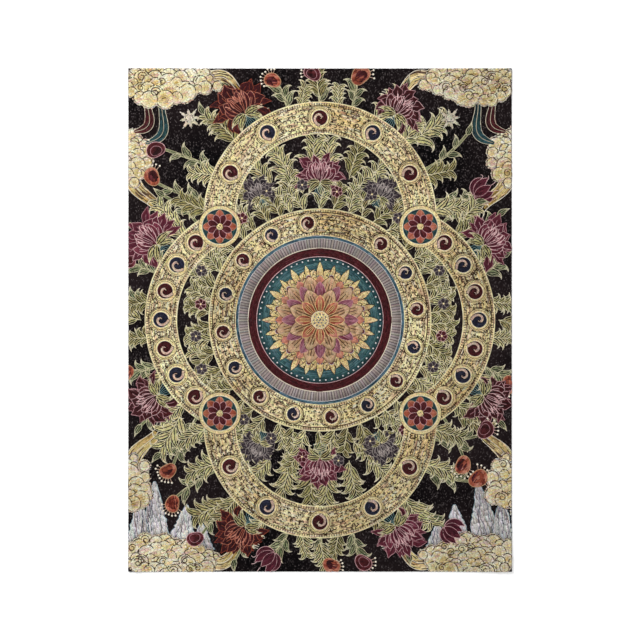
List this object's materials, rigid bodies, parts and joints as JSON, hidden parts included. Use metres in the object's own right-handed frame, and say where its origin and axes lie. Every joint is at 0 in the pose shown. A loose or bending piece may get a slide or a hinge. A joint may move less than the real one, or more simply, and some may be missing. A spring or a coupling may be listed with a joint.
{
  "type": "embroidered thangka",
  "caption": "Flat cut length of black cloth, embroidered edge to edge in silk and gilt thread with a lotus medallion, leafy scrolls and clouds.",
  "frame": {"origin": "under the middle of the panel, on the surface it lies on", "axes": "+X to the right and +Y up the design as it is read, +Z out of the worked face"},
  "size_m": [0.4, 0.525, 0.004],
  "materials": {
    "ground_cloth": "close black plain weave with a few pale slubs, matt",
    "silk_thread": "floss stitches in olive, burgundy, coral, teal, blue, mauve and peach, soft sheen",
    "gilt_thread": "pale gold wrapped thread laid in rows, satin sheen",
    "outline_thread": "twisted ecru thread, matt"
  },
  "bodies": {
    "root": {"embroidered_panel": "ground_cloth"}
  },
  "joints": []
}
